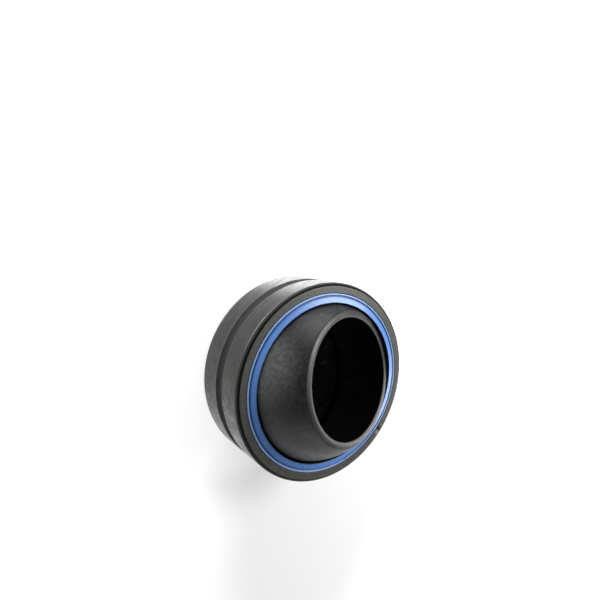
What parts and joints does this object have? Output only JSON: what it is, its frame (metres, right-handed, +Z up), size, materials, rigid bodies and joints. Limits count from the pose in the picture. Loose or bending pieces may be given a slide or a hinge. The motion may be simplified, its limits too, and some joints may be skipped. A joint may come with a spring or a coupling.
{
  "type": "spherical plain bearing",
  "caption": "Sealed radial spherical plain bearing: a ball-shaped inner ring that tilts and turns in a fractured, grooved steel outer ring with a blue lip seal at each face.",
  "frame": {"origin": "centre of the ball, on the bore's axis, halfway along the inner ring", "axes": "+Z up from the ground the bearing lies on, out of the end that the picture shows; X is the axis the rings are tilted about, with the bore's axis 2.78 degrees from +Z towards +Y and the outer ring's axis 14.52 degrees from +Z towards -Y"},
  "size_m": [0.15, 0.158, 0.0894],
  "materials": {
    "outer_steel": "turned and phosphated dark grey, rubbed lighter on the outside",
    "inner_steel": "ground and phosphated near black, mottled",
    "seal_rubber": "satin blue elastomer"
  },
  "bodies": {
    "inner_ring": {"inner_ring": "inner_steel"},
    "seals": {"front_seal": "seal_rubber", "rear_seal": "seal_rubber"},
    "outer_ring": {"outer_ring": "outer_steel"}
  },
  "joints": [
    {"name": "tilt", "type": "hinge", "parent": "inner_ring", "child": "seals", "pos_m": [0, 0, 0], "axis": [1, 0, 0], "range_deg": [-34.8, 0.2]},
    {"name": "rotation", "type": "hinge", "parent": "seals", "child": "outer_ring", "pos_m": [0, 0, 0], "axis": [0, -0.2507, 0.9681], "continuous": true}
  ]
}
